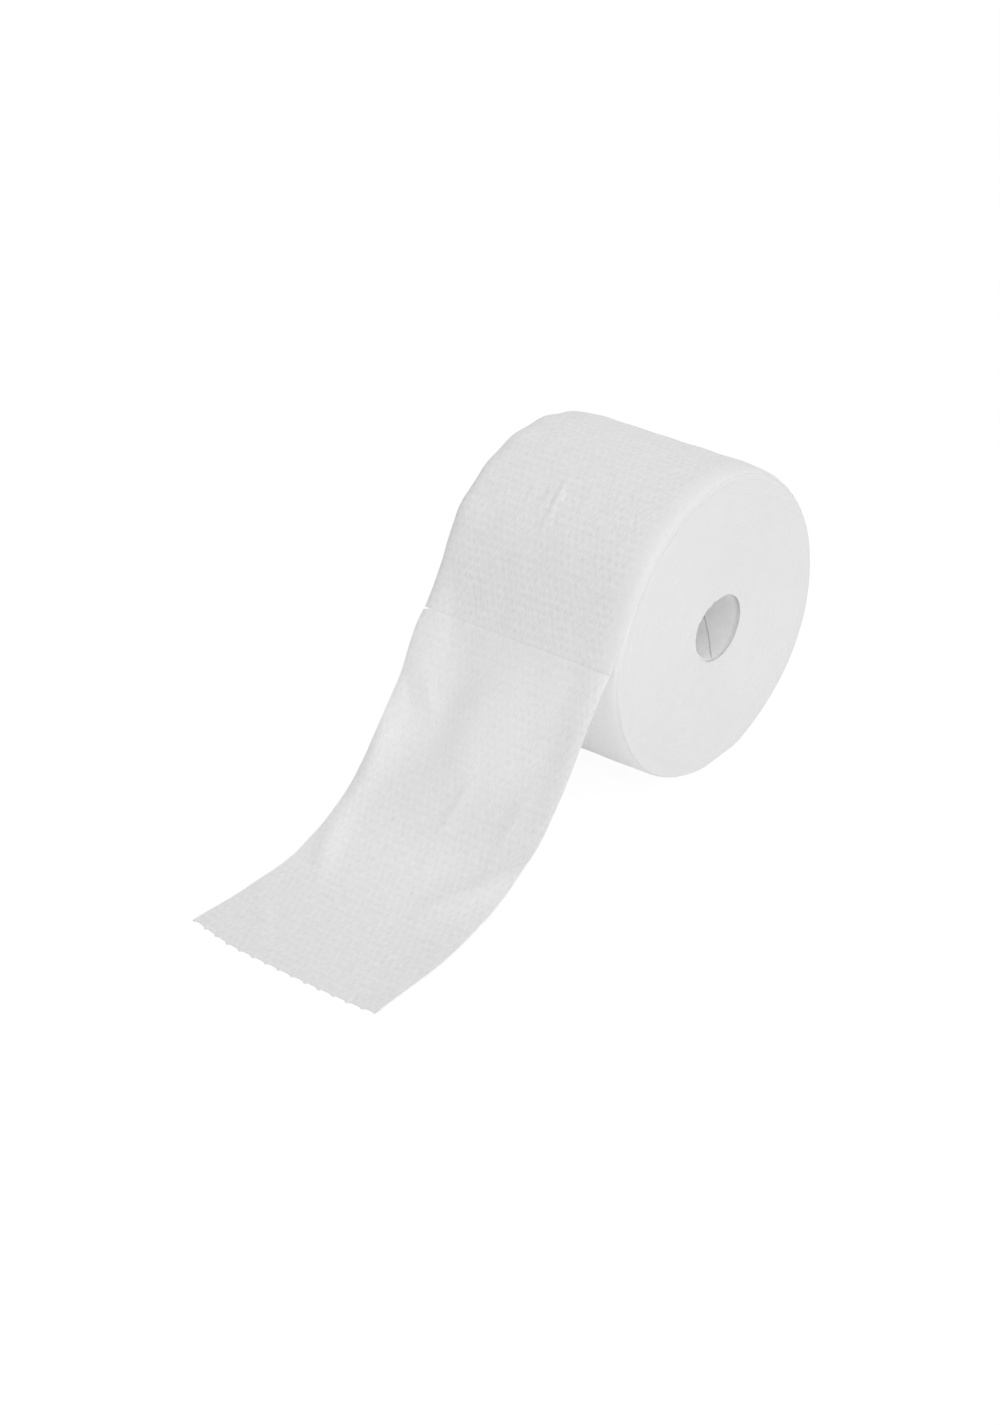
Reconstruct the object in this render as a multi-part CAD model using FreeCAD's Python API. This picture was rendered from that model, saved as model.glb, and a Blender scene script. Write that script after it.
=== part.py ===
"""Roll of disposable face towel, lying on its side with its last sheet pulled off and laid in front of it.

The roll's axis is X, -Y is the front, where the loose sheet lies, and +Z is up. The origin is on the
core's axis, midway between the two ends. Sizes are millimetres and angles are degrees. Sections are
drawn as (front, up) pairs, and an angle round the axis runs from the front horizontal up over the top.
"""

import FreeCAD, Part
import math
import os

from FreeCAD import Rotation, Vector

# The wound roll
ROLL_WIDTH = 114.0
ROLL_RADIUS = 78.0
SHEET_THICKNESS = 0.65  # one turn, embossing included
RIM_ROUND = 4.0  # the soft outer edge of each end
RIM_FACETS = 3  # the small slopes that the soft edge is made of
MOUTH_SLOPE = 1.5  # the eased inner edge of each end
FLAT_DEPTH = 1.0  # how far the roll's own weight flattens it where it lies

# The paper core
CORE_BORE_RADIUS = 17.0
CORE_WALL = 1.5
CORE_RECESS = 0.5  # the core's ends lie this far inside the roll's
WINDING_CLEARANCE = 0.1  # between the core and the first turn
SEAM_LEAD = 90.0  # the spiral-wound strip's advance in one turn
SEAM_WIDTH = 0.6
SEAM_DEPTH = 0.3
SEAM_ANGLE = 80.0  # where the seam meets the +X end, below the front horizontal

# The turns that show on the ends: one turn in every few stands back and leaves a spiral groove
TURNS_PER_GROOVE = 15
GROOVE_WIDTH = 0.6
GROOVE_DEPTH = 0.4
GROOVE_MARGIN = 1.0  # between the grooves and the rounded edges

# The loose sheet
SHEET_LENGTH = 200.0  # from one line of perforation to the next
LEAVING_ANGLE = 30.0  # where the sheet leaves the roll, above the front horizontal
HANGING_RUN = 32.0  # from there to the first line of perforation
PERFORATION_BEND = 9.0  # the sheet gives this much at the perforation
SLOPE_RUN = 67.0  # straight below the perforation
CLINGING_RUN = 7.0  # the sheet still clings to the turn below along this length
CLINGING_BITE = 1.0
EASING_RUN = 12.0  # along this the sheet widens from the rounded rim to its full width

# Perforation and the torn end
CUTS_PER_LINE = 14
TIE_WIDTH = 1.0
CUT_WIDTH = 0.5
WOUND_LINES = 2  # lines of perforation on the outermost turn
NIB_LENGTH = 0.9
SCALLOP_DEPTH = 0.4
NOTCH_LENGTH = 4.0  # the first line has started to tear at the -X edge
NOTCH_WIDTH = 1.2

# Worked out from the sizes above
HALF_WIDTH = ROLL_WIDTH / 2
FLOOR = FLAT_DEPTH - ROLL_RADIUS
HOLE_RADIUS = CORE_BORE_RADIUS + CORE_WALL + WINDING_CLEARANCE
CUT_PITCH = ROLL_WIDTH / CUTS_PER_LINE
SPREAD = 5.0  # how far a cutting tool stands out of what it cuts


def along(angle):
    """The unit direction (front, up) at an angle round the axis."""
    return Vector(math.cos(math.radians(angle)), math.sin(math.radians(angle)), 0)


def place(section, x=0.0):
    """The point of the model at a section's (front, up) point and a place along the axis."""
    return Vector(x, -section.x, section.y)


def round_the_axis(shape, angle):
    """A shape made at the front horizontal, turned up round the roll's axis."""
    shape.rotate(Vector(0, 0, 0), Vector(-1, 0, 0), angle)
    return shape


def prism(edges, half_width):
    """A section's closed outline, drawn as edges at x = 0, as wide as two half widths."""
    face = Part.Face(Part.Wire(edges))
    face.translate(Vector(-half_width, 0, 0))
    return face.extrude(Vector(2 * half_width, 0, 0))


def line(start, end):
    return Part.LineSegment(place(start), place(end)).toShape()


def arc(start, middle, end):
    return Part.Arc(place(start), place(middle), place(end)).toShape()


def corners(points):
    """The closed outline through some section points."""
    return [line(a, b) for a, b in zip(points, points[1:] + points[:1])]


class Spiral:
    """The outline of the wound roll: four quarter turns about the corners of a small square.

    Each quarter is tangent to the next, and after four the radius is one sheet less, so the
    outermost turn ends in a step of one sheet at the leaving angle.
    """

    shift = SHEET_THICKNESS / 4
    outward = along(LEAVING_ANGLE)
    back = along(LEAVING_ANGLE + 90)

    def centre(self, quarter):
        """The centre of one quarter turn, counted back from the leaving angle."""
        side = 1 if quarter in (0, 1) else -1
        turn = 1 if quarter in (1, 2) else -1
        return self.outward * (side * self.shift / 2) + self.back * (turn * self.shift / 2)

    def radius(self, quarter):
        return ROLL_RADIUS - self.shift / 2 - quarter * self.shift

    def inner_end(self):
        """The point where the outermost turn comes round to lie under itself."""
        return self.centre(3) + self.outward * self.radius(3)

    def surface(self, angle):
        """The distance of the roll's surface from the axis at an angle."""
        turned = (angle - LEAVING_ANGLE) % 360
        return ROLL_RADIUS - SHEET_THICKNESS * turned / 360


def rounded_section(radius, centre):
    """Half of the roll's lengthwise section, as a face from the centre out, with soft outer corners."""
    low = HOLE_RADIUS / 2
    rim = []
    for step in range(RIM_FACETS + 1):
        turn = along(90 * step / RIM_FACETS)
        rim.append((HALF_WIDTH - RIM_ROUND * (1 - turn.x), radius - RIM_ROUND * (1 - turn.y)))
    right = [(HALF_WIDTH, low)] + rim
    outline = right + [(-x, r) for x, r in reversed(right)]
    points = [place(centre + Vector(r, 0, 0), x) for x, r in outline]
    return Part.Face(Part.makePolygon(points + points[:1]))


def wound_body(spiral):
    """All the turns but the loose sheet, as four quarter turns of one rounded section."""
    quarters = []
    for quarter in range(4):
        centre = spiral.centre(quarter)
        section = rounded_section(spiral.radius(quarter), centre)
        section.rotate(place(centre), Vector(-1, 0, 0), LEAVING_ANGLE + 90 * quarter)
        quarters.append(section.revolve(place(centre), Vector(-1, 0, 0), 90))
    return quarters[0].fuse(quarters[1:]).removeSplitter()


def core_hole():
    """The hole for the core, with the eased mouth that the innermost turns make at each end."""
    axis = Vector(1, 0, 0)
    end = HALF_WIDTH + SPREAD
    hole = Part.makeCylinder(HOLE_RADIUS, 2 * end, axis * -end, axis)
    inside = axis * (HALF_WIDTH - MOUTH_SLOPE)
    mouth = Part.makeCone(HOLE_RADIUS, HOLE_RADIUS + MOUTH_SLOPE, MOUTH_SLOPE, inside, axis)
    return hole.fuse([mouth, mouth.mirror(Vector(0, 0, 0), axis)])


def spiral_wire(outer_radius, inner_radius, pitch):
    """The edges of a spiral from one radius in to another, as half turns about two centres."""
    edges = []
    radius = outer_radius
    start = Vector(outer_radius, 0, 0)
    side = 1
    while radius - pitch / 2 > inner_radius:
        end = start - Vector(side * (2 * radius - pitch / 2), 0, 0)
        top = (start + end) * 0.5 + Vector(0, side * (radius - pitch / 4), 0)
        edges.append(arc(start, top, end))
        start = end
        radius -= pitch / 2
        side = -side
    return edges, start


def turn_groove():
    """The spiral groove that a turn standing back leaves on the +X end, as a cutting tool."""
    outer = ROLL_RADIUS - RIM_ROUND - GROOVE_MARGIN
    inner = HOLE_RADIUS + MOUTH_SLOPE + GROOVE_MARGIN
    pitch = TURNS_PER_GROOVE * SHEET_THICKNESS
    wide, wide_end = spiral_wire(outer, inner, pitch)
    narrow, narrow_end = spiral_wire(outer - GROOVE_WIDTH, inner - GROOVE_WIDTH, pitch)
    first = line(Vector(outer, 0, 0), Vector(outer - GROOVE_WIDTH, 0, 0))
    last = line(wide_end, narrow_end)
    groove = Part.Face(Part.Wire(wide + [last] + narrow[::-1] + [first]))
    groove.translate(Vector(HALF_WIDTH - GROOVE_DEPTH, 0, 0))
    return groove.extrude(Vector(GROOVE_DEPTH + SPREAD, 0, 0))


def floor_block():
    """All that lies below the surface that the roll rests on."""
    reach = 2 * ROLL_RADIUS
    corner = Vector(-HALF_WIDTH - SPREAD, -reach / 2, FLOOR - reach)
    return Part.makeBox(ROLL_WIDTH + 2 * SPREAD, reach, reach, corner)


class TailPath:
    """The lower face of the loose sheet in section, from where it leaves the roll to its torn end."""

    def __init__(self, spiral):
        self.hang_angle = LEAVING_ANGLE - 90
        self.slope_angle = self.hang_angle + PERFORATION_BEND
        self.leaving = spiral.inner_end()
        self.perforation = self.leaving + along(self.hang_angle) * HANGING_RUN
        self.bend_start = self.perforation + along(self.slope_angle) * SLOPE_RUN
        drop = self.bend_start.y - FLOOR
        self.bend_radius = drop / (1 - math.cos(math.radians(self.slope_angle)))
        self.bend_centre = self.bend_start + along(self.slope_angle + 90) * self.bend_radius
        bend_run = self.bend_radius * math.radians(-self.slope_angle)
        self.lying_run = SHEET_LENGTH - SLOPE_RUN - bend_run
        self.landing = Vector(self.bend_centre.x, FLOOR, 0)
        self.torn_end = self.landing + Vector(self.lying_run, 0, 0)

    def on_bend(self, angle, rise):
        """A point of the bend, in the direction of an angle from its centre, raised off the lower face."""
        return self.bend_centre + along(angle) * (self.bend_radius - rise)

    def outline(self):
        """The closed section of the sheet."""
        thick = SHEET_THICKNESS
        top_out = along(self.hang_angle + 90) * thick
        slope_out = along(self.slope_angle + 90) * thick
        mitre = (top_out + slope_out) * (1 / (1 + top_out.dot(slope_out) / thick**2))
        up = Vector(0, thick, 0)
        halfway = -90 + self.slope_angle / 2
        low = [self.leaving, self.perforation, self.bend_start]
        high = [self.leaving + top_out, self.perforation + mitre, self.bend_start + slope_out]
        return [
            line(low[0], high[0]),
            line(high[0], high[1]),
            line(high[1], high[2]),
            arc(high[2], self.on_bend(halfway, thick), self.landing + up),
            line(self.landing + up, self.torn_end + up),
            line(self.torn_end + up, self.torn_end),
            line(self.torn_end, self.landing),
            arc(self.landing, self.on_bend(halfway, 0), low[2]),
            line(low[2], low[1]),
            line(low[1], low[0]),
        ]


def clinging_root(path):
    """The short stretch where the loose sheet still touches the turn below, between the rims."""
    down = along(path.hang_angle) * CLINGING_RUN
    out = along(LEAVING_ANGLE)
    high = path.leaving + out * (SHEET_THICKNESS / 2)
    low = path.leaving - out * CLINGING_BITE
    return prism(corners([high, high + down, low + down, low]), HALF_WIDTH - RIM_ROUND)


def easing_cuts(path):
    """What comes off the sheet's two upper corners, so that it widens smoothly from the rounded rim."""
    radius = (EASING_RUN**2 + RIM_ROUND**2) / (2 * RIM_ROUND)
    sweep = math.asin(EASING_RUN / radius) / 2
    narrow = HALF_WIDTH - RIM_ROUND
    run = along(path.hang_angle)
    below = path.leaving - along(LEAVING_ANGLE) * SPREAD

    def at(x, distance):
        return place(below + run * distance, x)

    def one_side(side):
        start = at(side * narrow, 0)
        end = at(side * HALF_WIDTH, EASING_RUN)
        middle = at(
            side * (HALF_WIDTH - radius * (1 - math.cos(sweep))),
            EASING_RUN - radius * math.sin(sweep),
        )
        outer = [at(side * (HALF_WIDTH + SPREAD), d) for d in (EASING_RUN, -SPREAD)]
        inner = at(side * narrow, -SPREAD)
        edges = [
            Part.Arc(start, middle, end).toShape(),
            Part.LineSegment(end, outer[0]).toShape(),
            Part.LineSegment(outer[0], outer[1]).toShape(),
            Part.LineSegment(outer[1], inner).toShape(),
            Part.LineSegment(inner, start).toShape(),
        ]
        corner = Part.Face(Part.Wire(edges))
        return corner.extrude(place(along(LEAVING_ANGLE) * 2 * SPREAD))

    return [one_side(side) for side in (-1, 1)]


def torn_end_cut(path):
    """What lies beyond the torn end: a nib is left at each tie, and a shallow hollow between ties."""
    tip = path.torn_end.x
    base = tip - NIB_LENGTH

    def at(x, front):
        return Vector(x, -front, FLOOR - SPREAD)

    edges = []
    for cut in range(CUTS_PER_LINE):
        left = -HALF_WIDTH + cut * CUT_PITCH
        right = left + CUT_PITCH
        first = at(left + TIE_WIDTH / 2, base)
        last = at(right - TIE_WIDTH / 2, base)
        deepest = at((left + right) / 2, base - SCALLOP_DEPTH)
        edges.append(Part.LineSegment(at(left, tip), first).toShape())
        edges.append(Part.Arc(first, deepest, last).toShape())
        edges.append(Part.LineSegment(last, at(right, tip)).toShape())
    rim = [
        at(HALF_WIDTH, tip),
        at(HALF_WIDTH, tip + SPREAD),
        at(-HALF_WIDTH, tip + SPREAD),
        at(-HALF_WIDTH, tip),
    ]
    edges += [Part.LineSegment(a, b).toShape() for a, b in zip(rim, rim[1:])]
    return Part.Face(Part.Wire(edges)).extrude(Vector(0, 0, 2 * SPREAD + SHEET_THICKNESS))


def perforation_cuts(depth):
    """One line of cuts across the web, made at the front horizontal, as deep as asked below x = 0."""
    length = CUT_PITCH - TIE_WIDTH
    cuts = []
    for cut in range(CUTS_PER_LINE):
        start = -HALF_WIDTH + cut * CUT_PITCH + TIE_WIDTH / 2
        corner = Vector(start, -SPREAD, -CUT_WIDTH / 2)
        cuts.append(Part.makeBox(length, SPREAD + depth, CUT_WIDTH, corner))
    return Part.makeCompound(cuts)


def first_line_cuts(path):
    """The perforation of the loose sheet, right through it, with the tear that has started in it."""
    cuts = perforation_cuts(SPREAD)
    tear = Part.makeBox(
        NOTCH_LENGTH + SPREAD, 2 * SPREAD, NOTCH_WIDTH, Vector(-HALF_WIDTH - SPREAD, -SPREAD, -NOTCH_WIDTH / 2)
    )
    tools = Part.makeCompound([cuts, tear])
    round_the_axis(tools, LEAVING_ANGLE + PERFORATION_BEND / 2)
    tools.translate(place(path.perforation))
    return tools


def wound_line_cuts(spiral):
    """The lines of perforation on the outermost turn, each one sheet further back along the web."""
    lines = []
    for count in range(1, WOUND_LINES + 1):
        on_the_roll = count * SHEET_LENGTH - HANGING_RUN
        angle = LEAVING_ANGLE + math.degrees(on_the_roll / ROLL_RADIUS)
        cuts = perforation_cuts(SHEET_THICKNESS)
        cuts.translate(place(Vector(spiral.surface(angle), 0, 0)))
        lines.append(round_the_axis(cuts, angle))
    return lines


def towel_web():
    """The whole strip of towel: the wound turns and the loose sheet, in one piece."""
    spiral = Spiral()
    path = TailPath(spiral)
    groove = turn_groove()
    other_groove = groove.mirror(Vector(0, 0, 0), Vector(1, 0, 0))
    body = wound_body(spiral).cut([core_hole(), floor_block(), groove, other_groove])
    body = body.cut(wound_line_cuts(spiral))
    sheet = prism(path.outline(), HALF_WIDTH)
    sheet = sheet.cut(easing_cuts(path) + [torn_end_cut(path), first_line_cuts(path)])
    return body.fuse([sheet, clinging_root(path)])


def seam_cut(length):
    """The butt joint that shows inside a spiral-wound core, as a cutting tool along +Z."""
    inside = CORE_BORE_RADIUS - SEAM_WIDTH
    outside = CORE_BORE_RADIUS + SEAM_DEPTH
    helix = Part.makeHelix(SEAM_LEAD, length + 2 * SPREAD, CORE_BORE_RADIUS, 0, True)
    half = SEAM_WIDTH / 2
    points = [Vector(inside, 0, -half), Vector(outside, 0, -half), Vector(outside, 0, half), Vector(inside, 0, half)]
    profile = Part.makePolygon(points + points[:1])
    return Part.Wire(helix.Edges).makePipeShell([profile], True, True)


def core_tube():
    """The spiral-wound paper tube, made along +Z and then laid along the roll's axis."""
    length = ROLL_WIDTH - 2 * CORE_RECESS
    tube = Part.makeCylinder(CORE_BORE_RADIUS + CORE_WALL, length)
    tube = tube.cut(Part.makeCylinder(CORE_BORE_RADIUS, length))
    seam = seam_cut(length)
    seam.translate(Vector(0, 0, -SPREAD))
    turned = 360 * (length + SPREAD) / SEAM_LEAD
    seam.rotate(Vector(0, 0, 0), Vector(0, 0, 1), SEAM_ANGLE + turned)
    tube = tube.cut(seam)
    lay = Rotation(Vector(0, -1, 0), Vector(0, 0, -1), Vector(1, 0, 0), "ZXY")
    tube.Placement = FreeCAD.Placement(Vector(-length / 2, 0, 0), lay)
    return tube


def main():
    os.makedirs("parts", exist_ok=True)
    for name, make in {"towel_web": towel_web, "core_tube": core_tube}.items():
        shape = make()
        shape.exportStep(f"parts/{name}.step")
        box = shape.BoundBox
        print(
            f"{name}: valid {shape.isValid()}, solids {len(shape.Solids)}, volume {shape.Volume:.0f} mm3, "
            f"x {box.XMin:.1f}..{box.XMax:.1f}, y {box.YMin:.1f}..{box.YMax:.1f}, z {box.ZMin:.1f}..{box.ZMax:.1f}"
        )


main()
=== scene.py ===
"""Roll of disposable face towel on its side, with its last sheet pulled off and laid in front of it.

The roll's axis is X, -Y is the front, where the loose sheet lies, and +Z is up. Sizes in the classes
are millimetres and angles are degrees. A section point is a (front, up) pair, and an angle round the
axis runs from the front horizontal up over the top. The meshes are metres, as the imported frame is.
"""

import logging
import math
from dataclasses import dataclass
from enum import Enum
from typing import Any, Callable, Sequence, Union

import bmesh
import bpy
import numpy as np
from mathutils import Matrix, Vector

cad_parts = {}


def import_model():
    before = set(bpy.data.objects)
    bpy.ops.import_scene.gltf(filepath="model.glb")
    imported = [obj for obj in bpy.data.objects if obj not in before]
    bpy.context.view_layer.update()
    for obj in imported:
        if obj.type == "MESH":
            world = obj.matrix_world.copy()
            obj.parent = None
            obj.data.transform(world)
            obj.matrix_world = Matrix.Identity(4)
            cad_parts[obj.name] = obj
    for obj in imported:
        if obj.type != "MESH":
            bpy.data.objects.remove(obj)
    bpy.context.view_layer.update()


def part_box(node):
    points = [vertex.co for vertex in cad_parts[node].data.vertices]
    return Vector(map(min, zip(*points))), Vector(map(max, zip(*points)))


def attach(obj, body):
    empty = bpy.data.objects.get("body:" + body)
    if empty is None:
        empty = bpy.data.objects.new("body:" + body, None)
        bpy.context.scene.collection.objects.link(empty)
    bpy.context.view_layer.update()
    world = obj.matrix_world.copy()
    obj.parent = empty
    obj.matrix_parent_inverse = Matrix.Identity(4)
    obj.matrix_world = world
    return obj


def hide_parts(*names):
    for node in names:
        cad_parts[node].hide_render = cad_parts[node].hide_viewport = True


LOG = logging.getLogger("face_towel_roll")
MM = 0.001
SHEET_MAP = "sheet"
Number = Union[float, "Signal"]
Inputs = dict[Any, Any]
Socket = bpy.types.NodeSocket
Array = np.ndarray
Arrays = tuple[np.ndarray, np.ndarray]
Span = tuple[float, float]
Point = tuple[float, float, float]

# Edges bent more than this many degrees stay sharp, and points closer than this many metres are one.
CREASE = 50.0
SAME_POINT = 1e-7
# How much of the dimples leans with the web, how much against it, and how strong both are beside the rows.
LEANING = 0.66
CROSSING = 0.34
SLANTED = 1.3
# Rows that lie before and past the whole web, and how the nap is combed flat at the roll's +X rim.
WHOLE_WEB = ((-999, -998), (998, 999))
RIM_COMBING = 0.75
RIM_COLUMNS = (3.2, 0.8)


# ---------------------------------------------------------------- shader nodes


class Signal:
    """One output socket that carries a number, with arithmetic written as Python expressions."""

    def __init__(self, nodes: "NodeTable", socket: bpy.types.NodeSocket) -> None:
        """Wraps an output socket that carries a number, and the table that its arithmetic adds nodes to."""
        self.nodes = nodes
        self.socket = socket

    def _math(self, operation: str, first: Number, second: Number = 0.0) -> "Signal":
        """Adds one Math node with a first and a second value, and gives its result."""
        return self.nodes.number("ShaderNodeMath", {0: first, 1: second}, {"operation": operation})

    def __add__(self, other: Number) -> "Signal":
        """This number plus another."""
        return self._math("ADD", self, other)

    def __radd__(self, other: Number) -> "Signal":
        """Another number plus this one."""
        return self._math("ADD", other, self)

    def __sub__(self, other: Number) -> "Signal":
        """This number less another."""
        return self._math("SUBTRACT", self, other)

    def __rsub__(self, other: Number) -> "Signal":
        """Another number less this one."""
        return self._math("SUBTRACT", other, self)

    def __mul__(self, other: Number) -> "Signal":
        """This number times another."""
        return self._math("MULTIPLY", self, other)

    def __truediv__(self, other: Number) -> "Signal":
        """This number divided by another."""
        return self._math("DIVIDE", self, other)

    def cosine(self) -> "Signal":
        """The cosine of this number, in radians."""
        return self._math("COSINE", self)

    def at_least(self, other: Number) -> "Signal":
        """The higher of this number and another."""
        return self._math("MAXIMUM", self, other)

    def spread(self, amount: float) -> "Signal":
        """This noise, moved so that it runs from less the amount to the amount."""
        return (self - 0.5) * (2 * amount)

    def eased(self, start: float, end: float) -> "Signal":
        """A smooth step, 0 up to the start and 1 from the end on."""
        limits = {"Value": self, "From Min": start, "From Max": end}
        return self.nodes.number("ShaderNodeMapRange", limits, {"interpolation_type": "SMOOTHSTEP"})


@dataclass(frozen=True)
class Noise:
    """A noise from 0 to 1: waves per unit, finer octaves and their strength, scale by axis and curling."""

    scale: float
    detail: float = 2.0
    stretch: Point = (1, 1, 1)
    curling: float = 0.0
    roughness: float = 0.6


class NodeTable:
    """The nodes of one material or world."""

    def __init__(self, tree: bpy.types.NodeTree) -> None:
        """Clears the node tree of a material or world and takes it over."""
        self.tree = tree
        tree.nodes.clear()

    def add(self, kind: str, values: Inputs | None = None, settings: Inputs | None = None) -> Any:
        """Adds any node.

        Args:
            kind: The node's type.
            values: A value, a socket or a signal for each input, by name or by place.
            settings: The node's own properties.

        Returns:
            The new node.
        """
        node = self.tree.nodes.new(kind)
        for name, setting in (settings or {}).items():
            setattr(node, name, setting)
        for name, value in (values or {}).items():
            socket = node.inputs[name]
            if isinstance(value, Signal):
                value = value.socket
            if isinstance(value, bpy.types.NodeSocket):
                self.tree.links.new(value, socket)
            else:
                socket.default_value = value
        return node

    def number(self, kind: str, values: Inputs, settings: Inputs | None = None) -> Signal:
        """Adds a node, as add does, and gives its first output as a number."""
        return Signal(self, self.add(kind, values, settings).outputs[0])

    def parts(self, vector: Socket) -> tuple[Signal, Signal]:
        """The first two numbers of a vector."""
        first, second, _ = self.add("ShaderNodeSeparateXYZ", {0: vector}).outputs
        return Signal(self, first), Signal(self, second)

    def object_place(self) -> Socket:
        """The object coordinates, in metres."""
        return self.add("ShaderNodeTexCoord").outputs["Object"]

    def sheet_place(self) -> tuple[Signal, Signal]:
        """The place on the sheet from the piece's own map: across and along, in dimples."""
        return self.parts(self.add("ShaderNodeUVMap", None, {"uv_map": SHEET_MAP}).outputs[0])

    def noise(self, place: Socket, noise: Noise) -> Signal:
        """Adds a noise.

        Args:
            place: The coordinates.
            noise: The kind of noise.

        Returns:
            The noise's strength.
        """
        mapped = self.add("ShaderNodeMapping", {"Vector": place, "Scale": noise.stretch}).outputs[0]
        values = {"Vector": mapped, "Scale": noise.scale, "Detail": noise.detail}
        values |= {"Roughness": noise.roughness, "Distortion": noise.curling}
        return self.number("ShaderNodeTexNoise", values)

    def blend(self, first: Any, second: Any, amount: Number) -> Socket:
        """A colour between two others, the first at an amount of 0 and the second at 1."""
        return self.add("ShaderNodeMix", {0: amount, 6: first, 7: second}, {"data_type": "RGBA"}).outputs[2]

    def grey(self, amount: Number) -> Socket:
        """A neutral colour of a varying brightness."""
        return self.blend(grey_colour(0.0), grey_colour(1.0), amount)

    def surface(
        self,
        colour: Socket,
        height: Signal,
        roughness: float,
        specular: float,
        through: Signal | None = None,
    ) -> None:
        """Adds the surface shader and the output.

        Args:
            colour: The base colour.
            height: The fine relief, in millimetres.
            roughness: How matt the surface is.
            specular: How strongly it shines.
            through: The share of the light that passes through thin cloth.
        """
        bump = self.add("ShaderNodeBump", {"Strength": 1.0, "Distance": MM, "Height": height})
        values = {"Base Color": colour, "Roughness": roughness, "Specular IOR Level": specular}
        values["Normal"] = bump.outputs[0]
        shader = self.add("ShaderNodeBsdfPrincipled", values)
        if through is not None:
            behind = self.add("ShaderNodeBsdfTranslucent", {"Color": colour})
            shader = self.add("ShaderNodeMixShader", {0: through, 1: shader.outputs[0], 2: behind.outputs[0]})
        self.add("ShaderNodeOutputMaterial", {"Surface": shader.outputs[0]})


def grey_colour(value: float) -> tuple[float, float, float, float]:
    """A neutral colour of one brightness."""
    return (value, value, value, 1.0)


# ---------------------------------------------------------------- finishes


@dataclass(frozen=True)
class NapAndPaintedLightPatch:
    """A stretch of the web, in rows of dimples, with a gain. It carries painted light and painted shade in
    the tone, the painted highlight at the line of perforation, crisper dimples and nap combed flat.

    With a side it begins between two columns of dimples and goes on to the +X edge.
    """

    starts: Span
    ends: Span
    gain: float
    side: Span | None = None

    def share(self, across: Signal, along: Signal) -> Signal:
        """How much of the gain each place on the web has."""
        held = along.eased(*self.starts) * (1 - along.eased(*self.ends))
        return held if self.side is None else held * across.eased(*self.side)


@dataclass(frozen=True)
class Finish:
    """What every finish has: a name, and a tone that its own nodes vary."""

    name: str
    tone: float

    def make(self) -> bpy.types.Material:
        """Makes the finish.

        Returns:
            The material.
        """
        material = bpy.data.materials.new(self.name)
        material.use_nodes = True
        self.shade(NodeTable(material.node_tree))
        return material

    def shade(self, nodes: NodeTable) -> None:
        """Adds the nodes that are the finish's own."""
        raise NotImplementedError


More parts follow.
